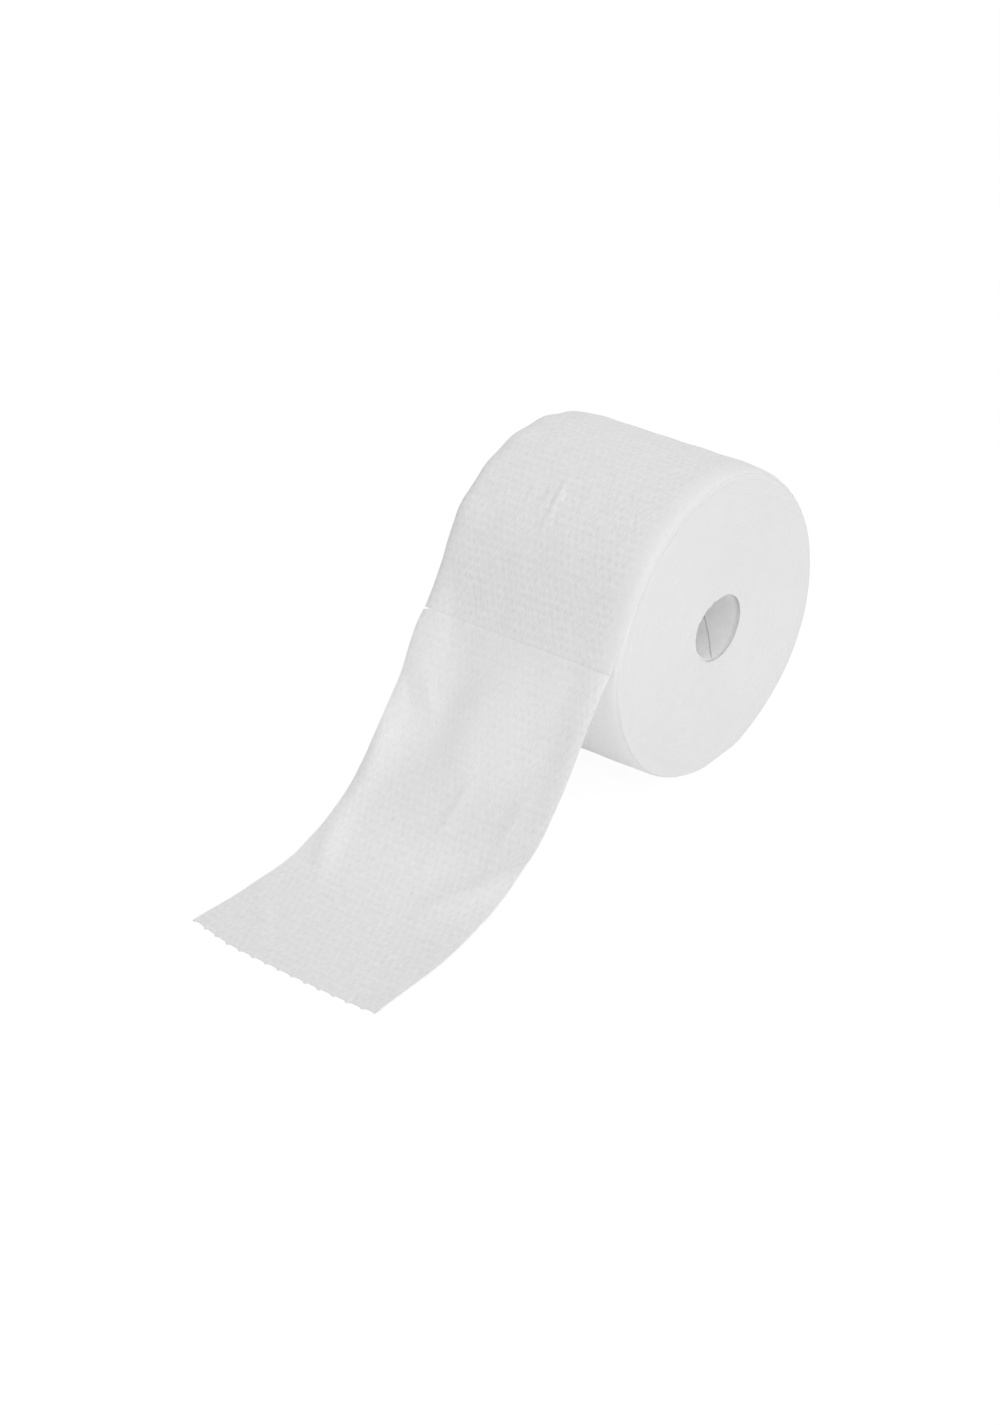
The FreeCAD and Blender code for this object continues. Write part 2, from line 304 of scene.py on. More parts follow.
@dataclass(frozen=True)
class Nonwoven(Finish):
    """Soft white spunlace towel with staggered rows of pressed dimples and short tangled fibres.

    Where it hangs free it lets some light through, and painted light makes it whiter there. Stretches
    along the web carry painted light and painted shade in its tone. A painted highlight makes the line of
    perforation a thin, slightly whiter and uneven line. Each dimple is darker, partly for its thinner cloth
    and partly as painted shade in its hollow. The dimples can be crisper over one stretch, the nap can be
    combed flat over the roll's +X rim, and past the web's +X edge the finish goes over into that of the
    turns' cut edges.
    """

    name: str = "white_nonwoven"
    tone: float = 0.835
    # Stretches of painted light and painted shade in the tone.
    painted_light_and_shade: tuple[NapAndPaintedLightPatch, ...] = ()
    # Where the sheet hangs free: its share of light let through, and a gain in tone that is painted light.
    hanging: NapAndPaintedLightPatch | None = None
    through: float = 0.24
    crisp: NapAndPaintedLightPatch | None = None
    combed: NapAndPaintedLightPatch | None = None
    line: float | None = None
    edge: float | None = None
    edge_tone: float = 0.80
    edge_easing: float = 0.7
    cloudiness: float = 0.018
    # How much darker each dimple is: partly its thinner cloth, partly painted shade in its hollow.
    dimple_tone: float = 0.019
    fleck_tone: float = 0.12
    # The painted highlight along the line of perforation.
    line_highlight: float = 0.04
    line_rows: Point = (0.1, 0.2, 0.5)
    roughness: float = 0.9
    specular: float = 0.25
    dimple_depth: float = 0.018
    fibre_depth: float = 0.11
    clouds: Noise = Noise(200.0, 3.0)
    pressure: Noise = Noise(260.0)
    pressure_gain: float = 3.6
    pressure_shift: float = -0.8
    flecks: Noise = Noise(1.0, curling=0.9)
    flecks_per_dimple: Span = (5.6, 1.5)
    long_fibres: Noise = Noise(900.0, 3.0, (1.6, 0.5, 0.5))
    cross_fibres: Noise = Noise(1100.0, 2.0, (0.5, 1.4, 1.4))
    long_share: float = 0.6

    def shade(self, nodes: NodeTable) -> None:
        """Adds the cloth's nodes.

        Args:
            nodes: The table to add to.
        """
        place = nodes.object_place()
        across, along = nodes.sheet_place()
        fibres = self._fibres(nodes, place)
        flecks = self._flecks(nodes, across, along)
        clouds = nodes.noise(place, self.clouds)
        pressure = nodes.noise(place, self.pressure) * self.pressure_gain + self.pressure_shift
        pressed = self._dimples(across, along) * pressure
        if self.crisp is not None:
            pressed = pressed * (self.crisp.share(across, along) * self.crisp.gain + 1)
        if self.combed is not None:
            loose = 1 - self.combed.share(across, along) * self.combed.gain
            pressed, flecks = pressed * loose, (flecks - 0.5) * loose + 0.5
        tone = self.tone + clouds.spread(self.cloudiness) + flecks.spread(self.fleck_tone)
        # Painted light and painted shade, stretch by stretch along the web, and painted light where the sheet
        # hangs free.
        for patch in self.painted_light_and_shade + ((self.hanging,) if self.hanging else ()):
            tone = tone + patch.share(across, along) * patch.gain
        # A painted highlight along the line of perforation, uneven with the flecks.
        if self.line is not None:
            whitest, fades, past = (self.line + rows for rows in self.line_rows)
            at_line = NapAndPaintedLightPatch((self.line, whitest), (fades, past), 2 * self.line_highlight)
            tone = tone + at_line.share(across, along) * flecks * at_line.gain
        # Each dimple darker: partly its thinner cloth, partly painted shade in its hollow.
        colour = nodes.grey(tone - pressed * self.dimple_tone)
        if self.edge is not None:
            past_edge = across.eased(self.edge - self.edge_easing, self.edge)
            colour = nodes.blend(colour, grey_colour(self.edge_tone), past_edge)
        height = fibres * self.fibre_depth + flecks * self.fibre_depth - pressed * self.dimple_depth
        through = None if self.hanging is None else self.hanging.share(across, along) * self.through
        nodes.surface(colour, height, self.roughness, self.specular, through)

    def _dimples(self, across: Signal, along: Signal) -> Signal:
        """The staggered dimples, as a depth from -1 to 1, drawn out a little along one slant.

        Args:
            across: The place across the web, in dimples.
            along: The place along it, in rows of dimples.

        Returns:
            The depth.
        """
        rows = (along * math.tau).cosine()
        leaning = (across * math.tau - along * math.pi).cosine() * LEANING
        crossing = (across * math.tau + along * math.pi).cosine() * CROSSING
        return (rows + (leaning + crossing) * SLANTED) / (1 + SLANTED)

    def _flecks(self, nodes: NodeTable, across: Signal, along: Signal) -> Signal:
        """Short uneven flecks that lie along the web.

        Args:
            nodes: The table to add to.
            across: The place across the web, in dimples.
            along: The place along it, in rows of dimples.

        Returns:
            The flecks' strength.
        """
        per_column, per_row = self.flecks_per_dimple
        web = nodes.add("ShaderNodeCombineXYZ", {0: across * per_column, 1: along * per_row}).outputs[0]
        return nodes.noise(web, self.flecks)

    def _fibres(self, nodes: NodeTable, place: Socket) -> Signal:
        """Fibres that lie mostly along the web, and some that cross them.

        Args:
            nodes: The table to add to.
            place: The object coordinates.

        Returns:
            The fibres' strength.
        """
        long_ones = nodes.noise(place, self.long_fibres)
        cross_ones = nodes.noise(place, self.cross_fibres)
        return long_ones * self.long_share + cross_ones * (1 - self.long_share)


@dataclass(frozen=True)
class TurnEdges(Finish):
    """The cut edges of the wound turns, with a fine fibrous fuzz."""

    name: str = "white_turn_edges"
    tone: float = 0.80
    cloudiness: float = 0.018
    fuzziness: float = 0.036
    roughness: float = 0.92
    specular: float = 0.2
    fuzz_depth: float = 0.03
    fuzz: Noise = Noise(1500.0, 3.0)
    clouds: Noise = Noise(45.0)

    def shade(self, nodes: NodeTable) -> None:
        """Adds the edges' nodes.

        Args:
            nodes: The table to add to.
        """
        place = nodes.object_place()
        fuzz = nodes.noise(place, self.fuzz)
        clouds = nodes.noise(place, self.clouds)
        tone = self.tone + clouds.spread(self.cloudiness) + fuzz.spread(self.fuzziness)
        nodes.surface(nodes.grey(tone), fuzz * self.fuzz_depth, self.roughness, self.specular)


@dataclass(frozen=True)
class CorePaper(Finish):
    """Pale paper of a spiral-wound core, with flecks, a faint grain along the strip and rubbed mouths.

    Painted light and painted shade make it lighter towards the front and darker towards the back, by the
    lean for each metre. The mouths and the cut ends start at places along the axis, in metres.
    """

    name: str = "grey_core_paper"
    tone: float = 1.0
    end_tone: float = 0.80
    # Painted light at the front of the bore and painted shade at its back, in tone per metre.
    lean: float = 7.2
    darkened: float = 0.03
    rubbed_from: float = 0.036
    end_from: float = 0.0552
    end_easing: float = 0.0002
    fleck: float = 0.04
    roughness: float = 0.85
    specular: float = 0.3
    grain_depth: float = 0.03
    flecks: Noise = Noise(700.0, 4.0)
    grain: Noise = Noise(260.0, 3.0, (0.5, 1.3, 1.3))

    def shade(self, nodes: NodeTable) -> None:
        """Adds the paper's nodes.

        Args:
            nodes: The table to add to.
        """
        place = nodes.object_place()
        flecks = nodes.noise(place, self.flecks)
        grain = nodes.noise(place, self.grain)
        along, back = nodes.parts(place)
        cut_end = (along * along).eased(self.end_from**2, (self.end_from + self.end_easing) ** 2)
        mouth = (along * along).eased(self.rubbed_from**2, self.end_from**2)
        # Painted light towards the front and painted shade towards the back, by the lean, and the mouths
        # darker.
        tone = self.tone - back * self.lean - mouth * self.darkened
        tone = tone + flecks.spread(self.fleck) + grain.spread(self.fleck)
        colour = nodes.grey(tone - cut_end * (self.tone - self.end_tone))
        nodes.surface(colour, (flecks + grain) * self.grain_depth, self.roughness, self.specular)


@dataclass(frozen=True)
class StudioFloor(Finish):
    """White paper floor that shows as the white background and keeps a faint trace of the shadow."""

    name: str = "studio_floor"
    tone: float = 0.97
    shadow_share: float = 0.10
    white: float = 1.04

    def shade(self, nodes: NodeTable) -> None:
        """Adds the floor's nodes.

        Args:
            nodes: The table to add to.
        """
        paper = nodes.add("ShaderNodeBsdfDiffuse", {"Color": grey_colour(self.tone)})
        glow = nodes.add("ShaderNodeEmission", {"Color": grey_colour(1.0), "Strength": self.white})
        seen = seen_rays(nodes) * (1 - self.shadow_share)
        mixed = nodes.add("ShaderNodeMixShader", {0: seen, 1: paper.outputs[0], 2: glow.outputs[0]})
        nodes.add("ShaderNodeOutputMaterial", {"Surface": mixed.outputs[0]})


def seen_rays(nodes: NodeTable) -> Signal:
    """1 for a ray that shows the background to the camera, directly, in gloss or through glass.

    Args:
        nodes: The table to add to.

    Returns:
        1 or 0 as a signal.
    """
    path = nodes.add("ShaderNodeLightPath")
    kinds = ["Is Camera Ray", "Is Glossy Ray", "Is Transmission Ray"]
    camera, glossy, through = (Signal(nodes, path.outputs[kind]) for kind in kinds)
    return camera.at_least(glossy).at_least(through)


# ---------------------------------------------------------------- shared forms


def smooth(value: Array, start: float, end: float) -> Array:
    """A smooth step over values, 0 up to the start and 1 from the end on."""
    share = np.clip((value - start) / (end - start), 0, 1)
    return share * share * (3 - 2 * share)


def bell(off: Array, reach: Array) -> Array:
    """A bell curve, 1 in its middle, at distances from there."""
    return np.exp(-((off / reach) ** 2))


def from_angle(angle: Array, middle: float) -> Array:
    """How far angles are from one angle, the short way round."""
    return (angle - middle + 180) % 360 - 180


def around_axis(x: Array, radius: Array, angle: Array) -> Array:
    """Points from places along the roll's axis, distances from it and angles round it."""
    turned = np.radians(angle)
    return np.stack([x, -radius * np.cos(turned), radius * np.sin(turned)], axis=1)


def eased_line(
    at: Array, places: Sequence[float], values: Sequence[float], reach: float, **ends: float
) -> Array:
    """A broken line through values at places, its corners eased over a reach, its ends as in np.interp."""
    return sum(np.interp(at + shift, places, values, **ends) for shift in (-reach, 0, reach)) / 3


@dataclass(frozen=True)
class RollSizes:
    """The sizes that the pieces share, which are the source's own, with the box read from the frame."""

    half_width: float
    floor: float
    radius: float = 78.0
    thickness: float = 0.65
    leaving_angle: float = 30.0
    sheet_length: float = 200.0
    hanging_run: float = 32.0
    hole_radius: float = 18.6
    bore_radius: float = 17.0
    ring_radius: float = 73.0
    dimple_columns: int = 28
    dimple_rows: int = 48
    cuts_per_line: int = 14
    quads_per_dimple: int = 4

    @classmethod
    def from_frame(cls) -> "RollSizes":
        """Reads the roll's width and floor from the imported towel."""
        low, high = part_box("towel_web")
        return cls(half_width=(high.x - low.x) / 2 / MM, floor=low.z / MM)

    @property
    def columns(self) -> int:
        """Faces across the sheet."""
        return self.dimple_columns * self.quads_per_dimple

    @property
    def column_width(self) -> float:
        """The width of one face."""
        return 2 * self.half_width / self.columns

    @property
    def row_length(self) -> float:
        """The length of one face along the web."""
        return self.sheet_length / (self.dimple_rows * self.quads_per_dimple)

    @property
    def dimple_pitch(self) -> Span:
        """The dimples' pitch across and along the web."""
        return 2 * self.half_width / self.dimple_columns, self.sheet_length / self.dimple_rows

    @property
    def back_line(self) -> float:
        """The angle of the perforation line that lies one sheet back on the roll."""
        on_roll = self.sheet_length - self.hanging_run
        return self.leaving_angle + math.degrees(on_roll / self.radius)

    def angle_at(self, along: Array) -> Array:
        """The angle round the roll at places along the web, from where the sheet leaves the roll."""
        return self.leaving_angle - np.degrees(along / self.radius)

    def surface(self, angle: Array) -> Array:
        """The wound surface's distance from the axis, at angles that grow by 360 for each turn further in."""
        return self.radius - self.thickness * (angle - self.leaving_angle) / 360

    def is_tie(self, column: Array) -> Array:
        """Which columns of faces stay joined across a line of perforation."""
        step = self.columns // self.cuts_per_line
        return (column % step == 0) | (column == self.columns - 1)


@dataclass(frozen=True)
class Embossing:
    """The staggered rows of dimples that are pressed into the towel's surface."""

    sizes: RollSizes
    depth: float = 0.024

    def relief(self, across: Array, along: Array) -> Array:
        """The dimples' relief.

        Args:
            across: Places across the web, from its middle.
            along: Places along the web, from a line of perforation.

        Returns:
            The height at each place.
        """
        pitch_across, pitch_along = self.sizes.dimple_pitch
        column, row = math.tau * across / pitch_across, math.tau * along / pitch_along
        slanted = LEANING * np.cos(column - row / 2) + CROSSING * np.cos(column + row / 2)
        return -self.depth * (np.cos(row) + SLANTED * slanted) / (1 + SLANTED)


@dataclass(frozen=True)
class Ripples:
    """Slight seeded unevenness, as a sum of plane waves."""

    height: float
    shortest: float
    longest: float
    seed: int
    waves: int = 10

    def relief(self, first: Array, second: Array) -> Array:
        """The unevenness.

        Args:
            first: Places in one direction.
            second: Places in the other.

        Returns:
            The height at each place, mostly within the ripples' height.
        """
        chance = np.random.default_rng(self.seed)
        total = np.zeros(np.broadcast(first, second).shape)
        for _ in range(self.waves):
            turn = chance.uniform(0, math.tau)
            step = math.tau / chance.uniform(self.shortest, self.longest)
            phase = chance.uniform(0, math.tau)
            total += np.sin(step * (first * math.cos(turn) + second * math.sin(turn)) + phase)
        return self.height * total / math.sqrt(self.waves)


@dataclass(frozen=True)
class Fold:
    """A soft ridge, or with negative heights a valley, that runs down the sheet along a bending line."""

    line: tuple[Point, ...]
    left: float
    right: float
    bend_easing: float = 5.0
    height_easing: float = 4.0

    def relief(self, across: Array, along: Array) -> Array:
        """The fold's height.

        Args:
            across: Places across the web, from its middle.
            along: Places along the web, from where the sheet leaves the roll.

        Returns:
            The height at each place.
        """
        middles, places, heights = zip(*self.line)
        off = across - eased_line(along, places, middles, self.bend_easing)
        height = eased_line(along, places, heights, self.height_easing, left=0, right=0)
        return height * bell(off, np.where(off < 0, self.left, self.right))


@dataclass(frozen=True)
class SoftRim:
    """The rounded outer edge of an end, a quarter of an ellipse."""

    reach: float
    drop: float

    def section(self, across: Array, half_width: float, full: bool) -> Arrays:
        """Lays the web's width over the rim.

        Args:
            across: Places across the flat web.
            half_width: Half of the roll's width.
            full: True to run to the rim's very end, false to keep the web's own width.

        Returns:
            The place along the axis and the drop below the surface.
        """
        steps = np.radians(np.linspace(0, 90, 91))
        x, z = self.reach * np.sin(steps), self.drop * (1 - np.cos(steps))
        lengths = np.concatenate([[0], np.cumsum(np.hypot(np.diff(x), np.diff(z)))])
        flat = half_width - self.reach
        stretch = (flat + lengths[-1]) / half_width if full else 1.0
        run = np.abs(across) * stretch - flat
        place = np.where(run > 0, flat + np.interp(run, lengths, x), np.abs(across) * stretch)
        return np.sign(across) * place, np.interp(run, lengths, z)


@dataclass(frozen=True)
class EndEdges:
    """The soft edges of both ends: wide under the hanging sheet, tight where the turns are bare."""

    near_wide: SoftRim = SoftRim(12.0, 3.0)
    far_wide: SoftRim = SoftRim(8.0, 2.0)
    tight: SoftRim = SoftRim(3.0, 0.8)
    widens: Span = (4, 22)
    tightens: Span = (110, 165)

    def section(self, angle: float, across: Array, half_width: float, full: bool) -> Arrays:
        """Lays the web's width over the edges at one angle.

        Args:
            angle: The angle round the roll.
            across: Places across the flat web.
            half_width: Half of the roll's width.
            full: True to run to the edges' very end, false to keep the web's own width.

        Returns:
            The place along the axis and the drop below the surface.
        """
        turned = np.array((angle + 90) % 360 - 90)
        width = float(smooth(turned, *self.widens) * (1 - smooth(turned, *self.tightens)))
        x, drop = np.zeros(len(across)), np.zeros(len(across))
        for wide, chosen in ((self.near_wide, across >= 0), (self.far_wide, across < 0)):
            reach = self.tight.reach + (wide.reach - self.tight.reach) * width
            fall = self.tight.drop + (wide.drop - self.tight.drop) * width
            x[chosen], drop[chosen] = SoftRim(reach, fall).section(across[chosen], half_width, full)
        return x, drop


@dataclass(frozen=True)
class Swelling:
    """One gentle swelling or hollow of the slack outer turns."""

    height: float
    across: float
    angle: float
    reach: Span

    def relief(self, across: Array, angle: Array) -> Array:
        """The swelling's height at places across the web and angles round the roll."""
        over_width = bell(across - self.across, self.reach[0])
        return self.height * over_width * bell(from_angle(angle, self.angle), self.reach[1])


SLACK_TURNS = (
    Swelling(0.8, -8.0, 112.0, (50.0, 34.0)),
    Swelling(1.4, -57.0, 42.0, (24.0, 14.0)),
    Swelling(-0.5, -57.0, 96.0, (9.0, 22.0)),
    Swelling(0.6, -38.0, 112.0, (16.0, 26.0)),
    Swelling(-0.9, 57.0, 142.0, (12.0, 18.0)),
    Swelling(3.3, 30.0, 208.0, (90.0, 32.0)),
    Swelling(1.2, 40.0, 262.0, (90.0, 22.0)),
    Swelling(3.0, -8.0, 312.0, (58.0, 22.0)),
)


def slack_of(across: Array, angle: Array) -> Array:
    """How far the slack outer turns stand off the round, at places on the web and angles round the roll."""
    return sum(swelling.relief(across, angle) for swelling in SLACK_TURNS)


class WrappedGrid:
    """A flat grid of faces that is laid over one of the roll's surfaces."""

    def __init__(self, name: str, across: int, along: int) -> None:
        """Makes the flat grid.

        Args:
            name: The piece's name.
            across: Faces across.
            along: Faces along.
        """
        self.name = name
        self.across = across
        self.along = along
        self.mesh = bmesh.new()
        self.mesh.loops.layers.uv.new(SHEET_MAP)
        bmesh.ops.create_grid(self.mesh, x_segments=across, y_segments=along, size=0.5, calc_uvs=True)

    def steps(self, points: Array) -> Arrays:
        """Columns and rows of flat points from -0.5 to 0.5, halves for the middle of a face."""
        return (points[:, 0] + 0.5) * self.across, (points[:, 1] + 0.5) * self.along

    def cut(self, gone: Callable[[Array, Array], Array]) -> None:
        """Takes faces out.

        Args:
            gone: Says for the columns and rows of all faces which of them go.
        """
        faces = list(self.mesh.faces)
        middles = np.array([face.calc_center_median()[:2] for face in faces])
        column, row = (np.floor(step).astype(int) for step in self.steps(middles))
        going = [face for face, out in zip(faces, gone(column, row)) if out]
        bmesh.ops.delete(self.mesh, geom=going, context="FACES")

    def evenly(self, column: Array, row: Array) -> Arrays:
        """A map from 0 to 1 over the grid."""
        return column / self.across, row / self.along

    def lay(
        self,
        place: Callable[[Array, Array], Array],
        pattern: Callable[[Array, Array], Arrays] | None = None,
    ) -> None:
        """Moves every point of the grid to its place, and its map to the pattern on the sheet.

        Args:
            place: Gives the points, in millimetres, for columns and rows.
            pattern: Gives the place in the embossing, in dimples, for columns and rows. None maps evenly.
        """
        points = np.array([vert.co[:2] for vert in self.mesh.verts])
        column, row = (np.rint(step).astype(int) for step in self.steps(points))
        for vert, point in zip(self.mesh.verts, place(column, row) * MM):
            vert.co = point
        layer = self.mesh.loops.layers.uv.active
        loops = [loop for face in self.mesh.faces for loop in face.loops]
        flat = np.array([loop[layer].uv[:] for loop in loops])
        column, row = (np.rint(step).astype(int) for step in self.steps(flat - 0.5))
        for loop, u, v in zip(loops, *(pattern or self.evenly)(column, row)):
            loop[layer].uv = (u, v)

    def close(self, fill_holes: bool = False) -> None:
        """Joins the grid's ends where they meet and turns its faces outwards.

        Args:
            fill_holes: True to close what stays open.
        """
        bmesh.ops.remove_doubles(self.mesh, verts=self.mesh.verts[:], dist=SAME_POINT)
        if fill_holes:
            bmesh.ops.holes_fill(self.mesh, edges=self.mesh.edges[:], sides=0)
        bmesh.ops.recalc_face_normals(self.mesh, faces=self.mesh.faces[:])

    def flip(self) -> None:
        """Turns all faces round."""
        bmesh.ops.reverse_faces(self.mesh, faces=self.mesh.faces[:])

    def piece(self, sharp_from: float | None) -> bpy.types.Object:
        """Makes the piece's object.

        Args:
            sharp_from: Edges bent more than this stay sharp, and None leaves every face flat.

        Returns:
            The object.
        """
        mesh = bpy.data.meshes.new(self.name)
        self.mesh.to_mesh(mesh)
        self.mesh.free()
        if sharp_from is not None:
            mesh.shade_smooth()
            mesh.set_sharp_from_angle(angle=math.radians(sharp_from))
            self._sharpen_border(mesh)
        piece = bpy.data.objects.new(self.name, mesh)
        bpy.context.scene.collection.objects.link(piece)
        return piece

    def _sharpen_border(self, mesh: bpy.types.Mesh) -> None:
        """Keeps the edges round openings sharp, so that a wall added later starts with a crisp edge.

        Args:
            mesh: The piece's mesh.
        """
        bordered = bmesh.new()
        bordered.from_mesh(mesh)
        for edge in bordered.edges:
            edge.smooth = edge.smooth and not edge.is_boundary
        bordered.to_mesh(mesh)
        bordered.free()


class Part(Enum):
    """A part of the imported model, as its node and its material slot."""

    WEB = ("towel_web", "towel")
    CORE = ("core_tube", "core")


def dress(piece: bpy.types.Object, material: bpy.types.Material, part: Part) -> bpy.types.Object:
    """Gives a piece its finish and its place in the frame.

    Args:
        piece: The finished piece.
        material: Its material.
        part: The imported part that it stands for.

    Returns:
        The piece.
    """
    node, slot = part.value
    piece.data.materials.append(material)
    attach(piece, "root")
    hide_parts(node)
    return piece


# ---------------------------------------------------------------- the loose sheet


@dataclass(frozen=True)
class Bow:
    """How far an edge bows outwards round one place along it."""

    out: float
    middle: float
    reach: float

    def shift(self, place: Array) -> Array:
        """The shift at places along the edge."""
        return self.out * bell(place - self.middle, self.reach)


@dataclass(frozen=True)
class EdgeCurl:
    """How one long edge of the sheet curls down, over a stretch along the web."""

    drop: float
    reach: float
    starts: Span
    ends: Span

    def fall(self, from_edge: Array, along: Array) -> Array:
        """The drop at places away from the edge and along the web."""
        held = smooth(along, *self.starts) * (1 - smooth(along, *self.ends))
        return self.drop * held * np.exp(-from_edge / self.reach)


@dataclass(frozen=True)
class SheetSide:
    """One long edge of the sheet: its direction on the axis, and how it goes down, bows, flares and curls.

    The slopes are given as (place along, degrees below level).
    """

    direction: int
    slopes: tuple[Span, ...]
    bows: tuple[Bow, ...]
    flare: float
    flares: Span
    curl: EdgeCurl
    bends_from: float = 0.3

    def slope(self, along: Array) -> Array:
        """Degrees below level at places along the sheet."""
        return np.interp(along, *zip(*self.slopes))

    def weight(self, share: Array) -> Array:
        """How much places across the sheet follow this edge, at shares of the half width."""
        return (1 + self.direction * share) / 2

    def shift(self, share: Array, along: Array) -> Array:
        """How far bows and flare move the sheet on the axis, at shares of the half width and places along."""
        out = self.flare * smooth(along, *self.flares) + sum(bow.shift(along) for bow in self.bows)
        return self.direction * out * smooth(self.direction * share, self.bends_from, 1.0)


FAR_SIDE = SheetSide(
    direction=-1,
    slopes=(
        (-20, 45.3), (0, 60), (31.6, 60), (32.4, 47), (60, 49), (85, 51.5), (104, 50),
        (120, 42.5), (140, 28), (160, 14.5), (182, 3), (192, 0),
    ),
    bows=(Bow(1.7, 42, 17), Bow(-0.6, 91, 13), Bow(1.6, 140, 26), Bow(0.6, 158, 8)),
    flare=1.4,
    flares=(205, 232),
    curl=EdgeCurl(1.2, 2.4, (-60, -25), (66, 90)),
)
NEAR_SIDE = SheetSide(
    direction=1,
    slopes=(
        (-20, 45.3), (0, 60), (31.6, 62), (32.4, 54), (60, 53), (80, 50), (100, 44),
        (120, 36), (140, 25), (160, 16), (180, 7), (198, 0),
    ),
    bows=(Bow(1.4, 82, 24),),
    flare=0.9,
    flares=(160, 195),
    curl=EdgeCurl(0.8, 2.4, (-60, -25), (20, 60)),
)
SIDES = (FAR_SIDE, NEAR_SIDE)
MAIN_VALLEY = Fold(
    (
        (-31, 36, 0), (-28, 46, -1.4), (-26, 56, -2.6), (-26.5, 68, -3.4), (-28, 80, -3.8),
        (-28.5, 92, -3.7), (-28.5, 99, -3.0), (-28.5, 106, -1.4), (-28.5, 113, 0),
    ),
    20.0,
    13.5,
)
FAR_STEP = Fold(
    (
        (-44, 6, 0), (-43, 12, -0.3), (-42, 18, -1.1), (-40, 26, -2.3), (-36, 38, -2.4),
        (-32, 50, -1.7), (-29, 60, -0.7), (-28, 70, 0),
    ),
    8.0,
    40.0,
)
MAIN_RIDGE = Fold(
    ((2, 40, 0), (1, 56, 1.1), (1, 70, 1.3), (1, 86, 1.2), (-2, 100, 0.6), (-4, 112, 0)),
    11.0,
    28.0,
)
FAR_EDGE_RIDGE = Fold(
    (
        (-58, 72, 0), (-56, 84, 1.6), (-54, 95, 3.1), (-52, 108, 3.5), (-52, 122, 2.7), (-52, 136, 1.9),
        (-50, 146, 1.9), (-46.5, 156, 1.9), (-41.5, 165, 1.4), (-37, 172, 0.6), (-33, 178, 0),
    ),
    7.0,
    7.2,
)
NEAR_EDGE_RIDGE = Fold(
    (
        (54, 28, 0.8), (55.5, 42, 2.8), (56, 58, 3.8), (56, 84, 3.7), (55, 100, 2.0),
        (52, 112, 0.6), (48, 120, 0),
    ),
    12.0,
    7.5,
)
CORNER_RIDGE = Fold(
    ((59, 124, 0.5), (51, 134, 1.1), (42, 146, 1.5), (34, 156, 1.4), (29, 165, 0.9), (25, 176, 0)),
    7.0,
    9.5,
)
SMALL_FOLDS = (
    Fold(((60, 160, 0), (60, 178, 1.0), (60, 232, 1.0)), 14.0, 14.0),
    Fold(((-48, 54, 0), (-41, 64, 0.7), (-35, 74, 0.8), (-29, 86, 0)), 4.5, 4.0),
    Fold(((-57, 56, 0), (-54, 64, -0.7), (-47, 77, -0.9), (-41, 87, 0)), 3.5, 4.0),
    Fold(((8, 94, 0), (6.5, 106, 0.65), (4.5, 120, 0.5), (3, 132, 0)), 2.6, 2.8),
    Fold(((41, 94, 0), (39, 106, 0.55), (38, 118, 0.55), (36, 130, 0)), 3.8, 3.6),
    Fold(((-58, 190, 0.2), (-44, 202, 0.7), (-30, 212, 0.6), (-18, 222, 0)), 7.0, 7.0),
)
PUCKERS = (
    Fold(((-9, -50, 0), (-7, -42, 0.9), (-6, -35, 0.7), (-5.5, -25, 0.45), (-5, -15, 0)), 1.6, 2.0),
    Fold(((-13, -46, 0), (-12, -39, 0.45), (-11.5, -30, 0)), 1.7, 1.7),
    Fold(((-24, -46, 0), (-22, -37, 0.6), (-20.5, -28, 0)), 1.7, 1.9),
    Fold(((5, -58, 0), (8, -46, 0.35), (9, -38, 0.35), (10, -28, 0)), 2.4, 2.4),
    Fold(((-24, -74, 0), (-21, -64, 0.3), (-19, -54, 0)), 2.2, 2.2),
)
BIG_FOLDS = (MAIN_VALLEY, FAR_STEP, MAIN_RIDGE, FAR_EDGE_RIDGE, NEAR_EDGE_RIDGE, CORNER_RIDGE)


def curl_of(across: Array, along: Array, half_width: float) -> Array:
    """How far the web's long edges curl down, at places from its middle and from the leaving line."""
    return sum(side.curl.fall(half_width - side.direction * across, along) for side in SIDES)


@dataclass(frozen=True)
class RimWaves:
    """Short waves that the slack web makes over the -X rim of the roll, with their pitch in degrees."""

    height: float = 0.35
    pitch: float = 17.0
    first: float = 74.0
    inner: float = 38.0
    ends: Span = (-5, 20)

    def relief(self, sizes: RollSizes, across: Array, along: Array) -> Array:
        """The waves' height, at places from the web's middle and from the leaving line."""
        rim = smooth(-across, self.inner, sizes.half_width) * (1 - smooth(along, *self.ends))
        return self.height * rim * np.sin(np.radians((sizes.angle_at(along) - self.first) * 360 / self.pitch))


